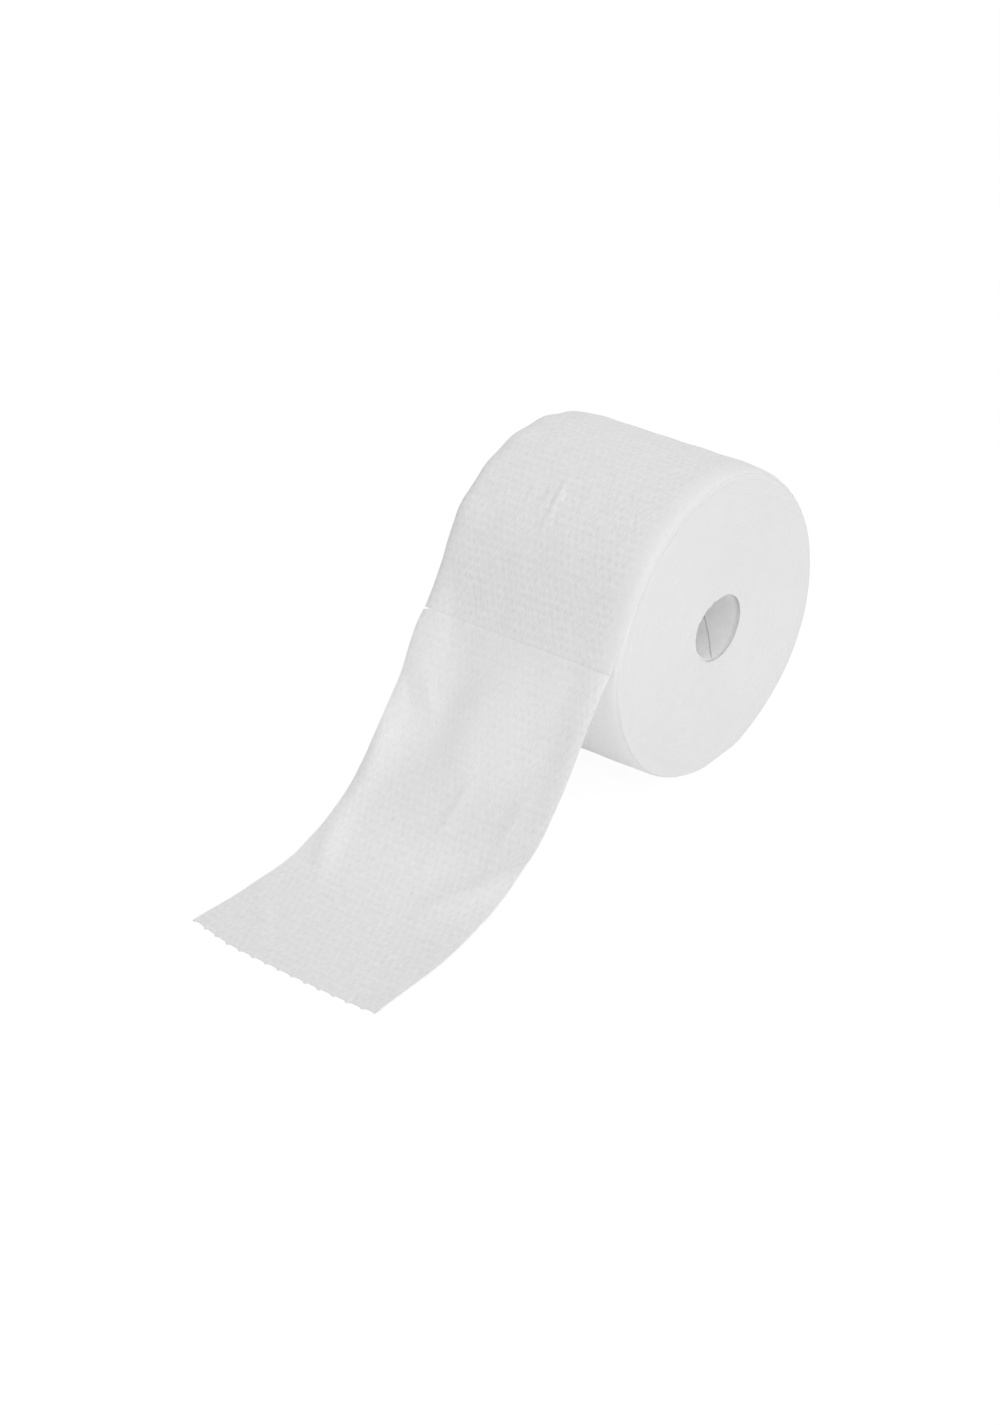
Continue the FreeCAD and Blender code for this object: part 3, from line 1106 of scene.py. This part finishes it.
@dataclass
class LooseSheet:
    """The web's last two sheets: the one round the front of the roll and the one pulled off it.

    A pair of places along the sheet is where a change begins and where it is done. The sheet is a little
    askew, narrower and drawn to +X where it hangs free, and torn short at the +X corner of its end.
    """

    sizes: RollSizes
    folds: tuple[Fold, ...] = BIG_FOLDS + SMALL_FOLDS + PUCKERS
    ripples: Ripples = Ripples(0.12, 14, 34, 3)
    rim_waves: RimWaves = RimWaves()
    edges: EndEdges = EndEdges()
    lift_off: float = -20.0
    lands: float = 190.0
    lies: Span = (150, 200)
    past_end: float = 6.0
    line_points: int = 2600
    rim_ends: Span = (0, 42)
    rim_margin: float = 6.0
    slack_ends: Span = (-16, 26)
    pulled: Span = (5, 150)
    narrowing: float = 0.05
    drift: float = 3.5
    turns_askew: Span = (-20, 30)
    skew: float = 1.3
    stretched: Span = (60, 232)
    overhang: float = 2.9
    end_bow: Bow = Bow(2.3, -0.52, 0.4)
    short_corner: float = 5.4
    corner_power: float = 1.4
    slit: float = 0.005
    raised_edge: float = 0.12
    raised_reach: float = 3.0
    nib: float = 0.65
    nib_spread: Span = (0.7, 1.4)
    nib_seed: int = 5
    scallop: float = 0.2
    next_row_follows: float = 0.45
    tear: float = 1.6
    tear_columns: int = 5
    tear_rows: int = 8

    def build(self, finish: bpy.types.Material) -> bpy.types.Object:
        """Builds the sheet.

        Args:
            finish: The towel's material.

        Returns:
            The piece.
        """
        sizes = self.sizes
        self.rows = self._rows()
        grid = WrappedGrid("loose_sheet", sizes.columns, len(self.rows) - 1)
        grid.cut(self._slits)
        grid.lay(self._place, self._pattern)
        grid.flip()
        piece = grid.piece(CREASE)
        wall = piece.modifiers.new("thickness", "SOLIDIFY")
        wall.thickness = sizes.thickness * MM
        wall.offset = -1
        return dress(piece, finish, Part.WEB)

    def _rows(self) -> Array:
        """The lines of points along the web, from the back line of perforation to the torn end.

        Returns:
            The place of each line.
        """
        sizes = self.sizes
        half = self.slit / 2
        first = np.arange(sizes.dimple_rows * sizes.quads_per_dimple + 1) * sizes.row_length
        second = sizes.sheet_length + first
        first[0], first[-1] = half, sizes.sheet_length - half
        second[0] = sizes.sheet_length + half
        self.first_line = len(first)
        return np.concatenate([[-half], first, second])

    def _slits(self, column: Array, row: Array) -> Array:
        """The faces that the two lines of perforation cut away.

        Args:
            column: Columns of faces.
            row: Rows of faces.

        Returns:
            True for a face that goes.
        """
        on_line = (row == 0) | (row == self.first_line)
        torn = (row == self.first_line) & (column < self.tear_columns)
        return on_line & (~self.sizes.is_tie(column) | torn)

    def _across(self, column: Array) -> Array:
        """Places across the flat web."""
        return column * self.sizes.column_width - self.sizes.half_width

    def _pattern(self, column: Array, row: Array) -> Arrays:
        """The place in the embossing."""
        pitch_across, pitch_along = self.sizes.dimple_pitch
        return self._across(column) / pitch_across, self.rows[row] / pitch_along

    def _section(self, side: SheetSide) -> tuple[Array, Array, Array, Array]:
        """One edge's line: places along, the front and up of its upper face, and its slope.

        Args:
            side: The edge.

        Returns:
            Places along, the front and up of the upper face there, and its slope.
        """
        sizes = self.sizes
        along = np.linspace(
            self.lift_off, sizes.sheet_length + sizes.hanging_run + self.past_end, self.line_points
        )
        slope = side.slope(along)
        middle = np.radians((slope[1:] + slope[:-1]) / 2)
        step = along[1] - along[0]
        angle = math.radians(sizes.angle_at(self.lift_off))
        front = sizes.radius * math.cos(angle) + np.concatenate([[0], np.cumsum(np.cos(middle)) * step])
        up = sizes.radius * math.sin(angle) - np.concatenate([[0], np.cumsum(np.sin(middle)) * step])
        landing = sizes.floor + sizes.thickness
        up += (landing - up[-1]) * smooth(along, sizes.hanging_run, self.lands)
        return along, front, up, slope

    def _place(self, column: Array, row: Array) -> Array:
        """The points of the sheet's outer face.

        Args:
            column: Columns of points.
            row: Rows of points.

        Returns:
            The points.
        """
        sizes = self.sizes
        across = self._across(column)
        along = self.rows[row] - (sizes.sheet_length - sizes.hanging_run)
        share = across / sizes.half_width
        pulled = along + self._pull(share, along) + self._torn_edges(column, row)
        section = np.zeros((3, len(across)))
        for side in SIDES:
            places, *lines = self._section(side)
            section += side.weight(share) * np.array([np.interp(pulled, places, line) for line in lines])
        front, up, slope = section
        angle = sizes.angle_at(along)
        wound = along < self.lift_off
        lift = np.radians(np.where(wound, angle, 90 - slope))
        front = np.where(wound, sizes.surface(angle) * np.cos(lift), front)
        up = np.where(wound, sizes.surface(angle) * np.sin(lift), up)
        rim_x, rim_drop = self._round_the_ends(column, row, angle)
        held = 1 - smooth(along, *self.rim_ends)
        x = rim_x * held + self._free_x(across, along) * (1 - held)
        height = self._relief(across, self.rows[row], along) - rim_drop * held
        front += height * np.cos(lift)
        up = np.maximum(up + height * np.sin(lift), sizes.floor + sizes.thickness)
        return np.stack([x, -front, up], axis=1)

    def _free_x(self, across: Array, along: Array) -> Array:
        """The place along the axis of the sheet where it hangs free.

        Args:
            across: Places across the web, from its middle.
            along: Places along the web, from where the sheet leaves the roll.

        Returns:
            The place of each point.
        """
        pulled = smooth(along, *self.pulled)
        x = across * (1 - self.narrowing * pulled) + self.drift * pulled
        return x + sum(side.shift(across / self.sizes.half_width, along) for side in SIDES)

    def _round_the_ends(self, column: Array, row: Array, angle: Array) -> Arrays:
        """The place along the axis and the drop that the roll's soft ends give the web.

        Args:
            column: Columns of points.
            row: Rows of points.
            angle: The angle round the roll at each point.

        Returns:
            The places and the drops.
        """
        sizes = self.sizes
        web = self._across(np.arange(sizes.columns + 1))
        x, drop = np.zeros(len(column)), np.zeros(len(column))
        for line in range(len(self.rows)):
            chosen = np.flatnonzero(row == line)
            turned = max(float(angle[chosen[0]]), sizes.leaving_angle + self.rim_margin)
            line_x, line_drop = self.edges.section(turned, web, sizes.half_width, False)
            x[chosen], drop[chosen] = line_x[column[chosen]], line_drop[column[chosen]]
        return x, drop

    def _pull(self, share: Array, along: Array) -> Array:
        """How far each point is pulled along the web, which is askew and torn unevenly.

        Args:
            share: Places across the sheet, as shares of the half width.
            along: Places along the web, from where the sheet leaves the roll.

        Returns:
            The pull at each place.
        """
        askew = -self.skew * share * smooth(along, *self.turns_askew)
        torn = self.overhang - self.short_corner * np.maximum(share, 0) ** self.corner_power
        torn += self.skew * share + self.end_bow.shift(share)
        return askew + torn * smooth(along, *self.stretched)

    def _torn_edges(self, column: Array, row: Array) -> Array:
        """How far the points of the torn end and of the started tear move along the web.

        Args:
            column: Columns of points.
            row: Rows of points.

        Returns:
            The move of each point.
        """
        sizes = self.sizes
        step = sizes.columns // sizes.cuts_per_line
        last = len(self.rows) - 1
        lengths = np.random.default_rng(self.nib_seed).uniform(*self.nib_spread, sizes.columns + 1)
        tie = (column % step <= 1) | (column >= sizes.columns - 1)
        hollow = self.nib + self.scallop * np.sin(math.pi * (column % step) / step)
        back = np.where(tie, self.nib * (1 - lengths[column]), hollow)
        follows = (row == last) + self.next_row_follows * (row == last - 1)
        rows_below = row - self.first_line - 1
        opening = self.tear * np.clip(1 - column / self.tear_columns, 0, 1)
        closing = np.clip(1 - rows_below / self.tear_rows, 0, 1) * (rows_below >= 0)
        return opening * closing - back * follows

    def _relief(self, across: Array, flat_along: Array, along: Array) -> Array:
        """How far the outer face stands off its section: dimples, folds, puckers and unevenness.

        Args:
            across: Places across the web, from its middle.
            flat_along: Places along the web, from the back line of perforation.
            along: Places along the web, from where the sheet leaves the roll.

        Returns:
            The height at each place.
        """
        sizes = self.sizes
        relief = Embossing(sizes).relief(across, flat_along) - curl_of(across, along, sizes.half_width)
        relief += sum(fold.relief(across, along) for fold in self.folds)
        relief += self.ripples.relief(across, along) * (1 - smooth(along, *self.lies) / 2)
        below = along - sizes.hanging_run
        relief += self.raised_edge * np.where(below >= 0, np.exp(-below / self.raised_reach), 0)
        relief += self.rim_waves.relief(sizes, across, along)
        return relief + slack_of(across, sizes.angle_at(along)) * (1 - smooth(along, *self.slack_ends))


# ---------------------------------------------------------------- the wound turns


@dataclass
class OuterTurns:
    """The outermost turns below the loose sheet: the roll's bare surface and the soft edge of both ends."""

    sizes: RollSizes
    rows_round: int = 460
    wall_steps: int = 6
    plain_rows: int = 6
    lowest_angle: float = -150.0
    ripples: Ripples = Ripples(0.1, 14, 34, 8)
    edges: EndEdges = EndEdges()
    slit: float = 0.1
    slit_wall: float = 0.06
    slit_depth: float = 0.25
    tuck: float = 1.6
    tuck_depth: float = 0.2

    def build(self, finish: bpy.types.Material) -> bpy.types.Object:
        """Builds the outer turns.

        Args:
            finish: The towel's material.

        Returns:
            The piece.
        """
        self.angles = self._angles()
        around = self.sizes.columns + 2 * self.wall_steps + 1
        grid = WrappedGrid("outer_turns", around, len(self.angles))
        grid.lay(self._place, self._pattern)
        grid.close()
        return dress(grid.piece(CREASE), finish, Part.WEB)

    def _angles(self) -> Array:
        """The lines of points round the roll, back from the loose sheet's end, with a line of perforation.

        Returns:
            The angle of each line.
        """
        sizes = self.sizes
        angles = sizes.back_line + np.arange(self.rows_round + 1) * 360 / self.rows_round
        line = sizes.back_line + math.degrees(sizes.sheet_length / sizes.radius)
        nearest = int(np.argmin(np.abs(angles - line)))
        half = math.degrees(self.slit / 2 / sizes.radius)
        wall = math.degrees(self.slit_wall / sizes.radius)
        around = [line - half - wall, line - half, line + half, line + half + wall]
        self.slit_rows = (nearest + 1, nearest + 2)
        return np.concatenate([angles[:nearest], around, angles[nearest + 1 :]])

    def _pattern(self, column: Array, row: Array) -> Arrays:
        """The place in the embossing.

        Args:
            column: Columns of points.
            row: Rows of points.

        Returns:
            The place across and along, in dimples.
        """
        angle = self.angles[np.minimum(row, len(self.angles) - 1)]
        run = np.radians(angle - self.sizes.back_line) * self.sizes.radius
        return column / self.sizes.quads_per_dimple, -run / self.sizes.dimple_pitch[1]

    def _place(self, column: Array, row: Array) -> Array:
        """The points of the closed shell, one lengthwise profile after another.

        Args:
            column: Columns of points.
            row: Rows of points.

        Returns:
            The points.
        """
        points = np.zeros((len(column), 3))
        for place in range(len(self.angles) + 1):
            chosen = np.flatnonzero(row == place)
            points[chosen] = self._profile(place % len(self.angles))[column[chosen]]
        return points

    def _profile(self, row: int) -> Array:
        """One closed lengthwise profile: the surface, the +X wall, the inside and the -X wall.

        Args:
            row: The profile's row.

        Returns:
            The profile's points.
        """
        sizes = self.sizes
        angle = self.angles[row]
        columns = np.arange(sizes.columns + 1)
        x, outer = self._surface(row, columns * sizes.column_width - sizes.half_width)
        if row in self.slit_rows:
            ties = sizes.is_tie(columns) | sizes.is_tie(columns - 1)
            outer = outer - np.where(ties, 0, self.slit_depth)
        shares = np.arange(1, self.wall_steps) / (self.wall_steps - 1)
        tucked = sizes.ring_radius - self.tuck
        right = np.append(outer[-1] + (sizes.ring_radius - outer[-1]) * shares, tucked)
        left = np.append(tucked, outer[0] + (sizes.ring_radius - outer[0]) * shares[::-1])
        ends = sizes.half_width - np.where(right > tucked, 0.0, self.tuck_depth)
        along_axis = np.concatenate([x, ends, -ends[::-1], x[:1]])
        points = around_axis(along_axis, np.concatenate([outer, right, left, outer[:1]]), angle)
        points[:, 2] = np.maximum(points[:, 2], sizes.floor)
        return points

    def _surface(self, row: int, across: Array) -> Arrays:
        """The place along the axis and the distance from it of one line of the outer surface.

        Args:
            row: The line's row.
            across: Places across the web, from its middle.

        Returns:
            The places and the distances.
        """
        sizes = self.sizes
        angle = self.angles[row]
        x, drop = self.edges.section(angle, across, sizes.half_width, True)
        run = math.radians(angle - sizes.back_line) * sizes.radius
        relief = Embossing(sizes).relief(across, -run) + self.ripples.relief(across, run)
        relief *= np.clip(min(row, len(self.angles) - 1 - row) / self.plain_rows, 0, 1)
        wrapped = (angle - self.lowest_angle) % 360 + self.lowest_angle
        along = math.radians(sizes.leaving_angle - wrapped) * sizes.radius
        relief += slack_of(across, angle) - curl_of(across, along, sizes.half_width)
        return x, sizes.surface(angle) - drop + relief


@dataclass
class WoundTurns:
    """The turns between the core and the outer ones, whose edges show as a fine spiral on both ends.

    The innermost turns lean in over the +X end of the core as a lip, which a small notch breaks. Its waves
    are given as (size, count round the roll, start).
    """

    sizes: RollSizes
    segments: int = 256
    ridge: float = 0.045
    uneven: float = 0.018
    uneven_seed: int = 11
    spare_offsets: int = 8
    ripples: Ripples = Ripples(0.05, 40, 110, 21)
    ends_apart: float = 200.0
    turns_per_groove: int = 15
    first_groove: float = 4.5
    groove_depth: float = 0.05
    groove_reach: float = 0.5916
    lip: float = 3.3
    lip_angle: float = 84.0
    lip_spread: float = 52.0
    lip_turns: float = 7.0
    lip_depth: float = 1.2
    notch: float = 0.3
    notch_angle: float = 76.0
    notch_spread: float = 5.0
    lip_waves: tuple[Point, ...] = ((0.06, 5, 40), (0.05, 11, 0))

    def build(self, finish: bpy.types.Material) -> bpy.types.Object:
        """Builds the wound turns.

        Args:
            finish: The turn edges' material.

        Returns:
            The piece.
        """
        sizes = self.sizes
        self.rings = int(round((sizes.ring_radius - sizes.hole_radius) / sizes.thickness)) * 2
        self.profile = 2 * self.rings + 4
        grid = WrappedGrid("wound_turns", self.profile, self.segments)
        grid.lay(self._place)
        grid.close(fill_holes=True)
        return dress(grid.piece(None), finish, Part.WEB)

    def _place(self, column: Array, row: Array) -> Array:
        """The points of the closed ring, spiralling in by one turn on the way round.

        Args:
            column: Columns of points.
            row: Rows of points.

        Returns:
            The points.
        """
        sizes = self.sizes
        count = self.rings
        looped = column % self.profile
        right = looped <= count + 1
        ring = np.where(right, looped, 2 * count + 3 - looped)
        side = np.where(right, 1.0, -1.0)
        under = ring > count
        turn = row / self.segments
        angle = sizes.leaving_angle - 360 * turn
        depth = ring / 2 + turn
        radius = sizes.ring_radius - sizes.thickness * depth - self._lip(depth, angle) * right
        radius = np.where(under, sizes.hole_radius, radius)
        level = self._level(ring, depth, angle, side)
        x = side * (sizes.half_width + np.where(under, -self.lip_depth, level))
        return around_axis(x, radius, angle)

    def _lip(self, depth: Array, angle: Array) -> Array:
        """How far the innermost turns lean in over the end of the core: most at the upper front.

        Args:
            depth: How many turns lie outside each point.
            angle: The angle round the roll at each point.

        Returns:
            The lean at each point.
        """
        innermost = smooth(depth, self.rings / 2 - self.lip_turns, self.rings / 2)
        waves = (size * np.sin(np.radians(angle * count + start)) for size, count, start in self.lip_waves)
        uneven = 1 + sum(waves) - self.notch * bell(from_angle(angle, self.notch_angle), self.notch_spread)
        return innermost * self.lip * bell(from_angle(angle, self.lip_angle), self.lip_spread) * uneven

    def _level(self, ring: Array, depth: Array, angle: Array, side: Array) -> Array:
        """How far a turn's edge stands out of the end's plane.

        Args:
            ring: Which edge of a turn each point is on.
            depth: How many turns lie outside each point.
            angle: The angle round the roll at each point.
            side: 1 for the +X end and -1 for the -X end.

        Returns:
            The height at each point.
        """
        chance = np.random.default_rng(self.uneven_seed)
        offsets = chance.normal(0, self.uneven, self.rings + self.spare_offsets)
        out = self.sizes.ring_radius - self.sizes.thickness * depth
        front, up = out * np.cos(np.radians(angle)), out * np.sin(np.radians(angle))
        wander = np.interp(depth, np.arange(len(offsets)) / 2, offsets)
        wander += self.ripples.relief(front + self.ends_apart * side, up)
        into_groove = (depth - self.first_groove + 0.5) % self.turns_per_groove - 0.5
        zigzag = np.where(ring % 2 == 0, self.ridge, -self.ridge)
        return zigzag + wander - self.groove_depth * bell(into_groove, self.groove_reach)


# ---------------------------------------------------------------- the core


@dataclass
class PaperCore:
    """The spiral-wound paper core, with the butt joint of its inner strip.

    The seam steps are the lines of points on each side of the joint, in widths of it.
    """

    sizes: RollSizes
    wall: float = 1.5
    recess: float = 1.5
    lead: float = 90.0
    seam_angle: float = -80.0
    seam_width: float = 0.7
    seam_depth: float = 0.9
    seam_lip: float = 0.2
    seam_steps: tuple[float, ...] = (0.0, 0.5, 0.56, 1.0, 2.2)
    around: int = 180
    rings: int = 57

    def build(self, finish: bpy.types.Material) -> bpy.types.Object:
        """Builds the core.

        Args:
            finish: The paper's material.

        Returns:
            The piece.
        """
        self.length = 2 * (self.sizes.half_width - self.recess)
        self.profile = 2 * self.rings + 2
        grid = WrappedGrid("paper_core", self.profile, self.around)
        grid.lay(self._place)
        grid.close()
        return dress(grid.piece(CREASE), finish, Part.CORE)

    def _place(self, column: Array, row: Array) -> Array:
        """The points of the closed tube, in lines that follow the strip's helix.

        Args:
            column: Columns of points.
            row: Rows of points.

        Returns:
            The points.
        """
        bore = self.sizes.bore_radius
        looped = column % self.profile
        inside = looped <= self.rings
        ring = np.where(inside, looped, 2 * self.rings + 1 - looped)
        x = self.length * (ring / self.rings - 0.5)
        angle = self.seam_angle - 360 / self.lead * (self.length / 2 - x) + np.degrees(self._from_seam(row))
        radius = np.where(inside, bore + self._seam_relief(row), bore + self.wall)
        return around_axis(x, radius, angle)

    def _from_seam(self, row: Array) -> Array:
        """The angle round from the seam, in radians, with crisp walls and a lip beside it.

        Args:
            row: Rows of points.

        Returns:
            The angle at each row.
        """
        place = row % self.around
        back = place > self.around // 2
        step = np.where(back, self.around - place, place)
        near = np.array(self.seam_steps) * self.seam_width / self.sizes.bore_radius
        last = len(near) - 1
        rest = near[-1] + (math.pi - near[-1]) * (step - last) / (self.around / 2 - last)
        spread = np.where(step <= last, near[np.minimum(step, last)], rest)
        return np.where(back, math.tau - spread, spread)

    def _seam_relief(self, row: Array) -> Array:
        """How far the bore's wall goes back at the seam, and stands in at the strip's edge beside it.

        Args:
            row: Rows of points.

        Returns:
            The distance at each row.
        """
        place = row % self.around
        groove = self.seam_depth * ((place <= 1) | (place >= self.around - 1))
        return groove - self.seam_lip * ((place == 2) | (place == 3))


# ---------------------------------------------------------------- the studio


@dataclass(frozen=True)
class Lamp:
    """A square soft lamp that faces the roll, with its distance and width in metres."""

    name: str
    direction: Point
    level: float
    distance: float = 2.4
    width: float = 1.6

    def build(self) -> None:
        """Puts the lamp up, as bright as its level on a surface that faces it."""
        data = bpy.data.lights.new(self.name, "AREA")
        data.shape = "SQUARE"
        data.size = self.width
        data.energy = self.level * math.pi * math.pi * self.distance**2
        towards = Vector(self.direction).normalized()
        lamp = bpy.data.objects.new(self.name, data)
        lamp.location = towards * self.distance
        lamp.rotation_mode = "QUATERNION"
        lamp.rotation_quaternion = towards.to_track_quat("Z", "Y")
        bpy.context.scene.collection.objects.link(lamp)


@dataclass(frozen=True)
class Studio:
    """The pale floor, the soft light and the camera, with the floor's width in metres."""

    sizes: RollSizes
    ambient: float = 0.617
    floor_width: float = 24.0
    floor_gap: float = 0.1
    lens: float = 50.5
    sensor: float = 36.0
    clip: Span = (0.05, 60.0)
    eye: Point = (543.7, -680.8, 485.9)
    right: Point = (0.75, 0.6601, -0.0422)
    forward: Point = (-0.574, 0.6178, -0.5374)
    lamps: tuple[Lamp, ...] = (
        Lamp("front_lamp", (0.7, -0.6, 0.25), 0.237),
        Lamp("top_lamp", (0.0, 0.5, 0.85), 0.167),
        Lamp("side_lamp", (0.7, 0.0, 0.7), 0.122),
    )

    def build(self) -> None:
        """Builds the studio and sets the plain view."""
        bpy.context.scene.view_settings.view_transform = "Standard"
        self._world()
        self._floor()
        for lamp in self.lamps:
            lamp.build()
        self._camera()

    def _world(self) -> None:
        """An even soft light from all round, which shows as white."""
        world = bpy.data.worlds.new("studio")
        bpy.context.scene.world = world
        world.use_nodes = True
        nodes = NodeTable(world.node_tree)
        strength = seen_rays(nodes) * (1 - self.ambient) + self.ambient
        glow = nodes.add("ShaderNodeBackground", {"Color": grey_colour(1.0), "Strength": strength})
        nodes.add("ShaderNodeOutputWorld", {"Surface": glow.outputs[0]})

    def _floor(self) -> None:
        """The floor just under the roll."""
        mesh = bmesh.new()
        bmesh.ops.create_grid(mesh, x_segments=1, y_segments=1, size=self.floor_width / 2)
        level = (self.sizes.floor - self.floor_gap) * MM
        bmesh.ops.translate(mesh, verts=mesh.verts[:], vec=(0, 0, level))
        data = bpy.data.meshes.new("studio_floor")
        mesh.to_mesh(data)
        mesh.free()
        data.materials.append(StudioFloor().make())
        floor = bpy.data.objects.new("studio_floor", data)
        bpy.context.scene.collection.objects.link(floor)

    def _camera(self) -> None:
        """The camera, above the front and to the +X side."""
        data = bpy.data.cameras.new("camera")
        data.lens = self.lens
        data.sensor_width = self.sensor
        data.clip_start, data.clip_end = self.clip
        camera = bpy.data.objects.new("camera", data)
        forward = Vector(self.forward).normalized()
        right = Vector(self.right)
        right = (right - forward * right.dot(forward)).normalized()
        turn = Matrix((right, right.cross(forward), -forward)).transposed()
        camera.matrix_world = Matrix.Translation(Vector(self.eye) * MM) @ turn.to_4x4()
        bpy.context.scene.collection.objects.link(camera)
        bpy.context.scene.camera = camera


def wound_finish(sizes: RollSizes) -> bpy.types.Material:
    """Makes the towel's finish on the bare roll: painted light low at the front, in the shaded space under
    the loose sheet, and combed flat over the +X rim.

    Args:
        sizes: The roll's sizes.

    Returns:
        The material.
    """
    columns = sizes.dimple_columns
    # Painted light that lifts the shaded space low at the front, under the loose sheet.
    low = NapAndPaintedLightPatch((-78, -75), (-44, -38), 0.165)
    rim_side = (columns - RIM_COLUMNS[0], columns - RIM_COLUMNS[1])
    rim = NapAndPaintedLightPatch(*WHOLE_WEB, RIM_COMBING, rim_side)
    # The dimples darker here: partly thinner cloth, partly painted shade in their hollows.
    return Nonwoven(painted_light_and_shade=(low,), dimple_tone=0.032, combed=rim, edge=columns).make()


def loose_finish(sizes: RollSizes) -> bpy.types.Material:
    """Makes the towel's finish on the loose sheet, which lets light through below the line of perforation and
    carries painted light and painted shade along the web.

    Args:
        sizes: The roll's sizes.

    Returns:
        The material.
    """
    rows = sizes.dimple_rows
    side = sizes.dimple_columns / 2
    below = (rows, rows + 0.05)
    # Painted shade over the stretch just above the line of perforation.
    darkened = NapAndPaintedLightPatch((rows - 15, rows - 8), (rows - 5, rows), -0.018)
    # Painted light below the line, where the sheet hangs free.
    painted_light_below = NapAndPaintedLightPatch(below, (rows + 27, rows + 40), 0.042)
    # Painted shade on the +X side of the hanging sheet.
    painted_shade_near_side = NapAndPaintedLightPatch((rows + 2, rows + 9), (rows + 33, rows + 44), -0.018, (3, 10))
    # Painted shade towards the end, where the sheet lies on the floor.
    end = NapAndPaintedLightPatch((rows + 35, rows + 47), (3 * rows, 4 * rows), -0.008)
    rim_side = (side - RIM_COLUMNS[0], side - RIM_COLUMNS[1])
    return Nonwoven(
        "white_nonwoven_loose",
        fleck_tone=0.13,
        painted_light_and_shade=(darkened, painted_light_below, painted_shade_near_side, end),
        # The hanging stretch lets light through, and its gain in tone is painted light.
        hanging=NapAndPaintedLightPatch(below, (rows + 12, rows + 28), 0.1),
        crisp=NapAndPaintedLightPatch((rows - 24, rows - 12), (rows - 1, rows), 0.25),
        combed=NapAndPaintedLightPatch(WHOLE_WEB[0], (rows - 1, rows + 2), RIM_COMBING, rim_side),
        # The line of perforation, with its painted highlight.
        line=rows,
    ).make()


def report(piece: bpy.types.Object) -> None:
    """Logs a piece's name and its count of faces."""
    LOG.info("%s: %d faces", piece.name, len(piece.data.polygons))


def main() -> None:
    """Builds the studio and the roll, and reports each piece."""
    logging.basicConfig(level=logging.INFO, format="%(name)s: %(message)s")
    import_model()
    sizes = RollSizes.from_frame()
    Studio(sizes).build()
    sheet = LooseSheet(sizes).build(loose_finish(sizes))
    report(sheet)
    report(OuterTurns(sizes).build(wound_finish(sizes)))
    report(WoundTurns(sizes).build(TurnEdges().make()))
    report(PaperCore(sizes).build(CorePaper().make()))


if __name__ == "__main__":
    main()
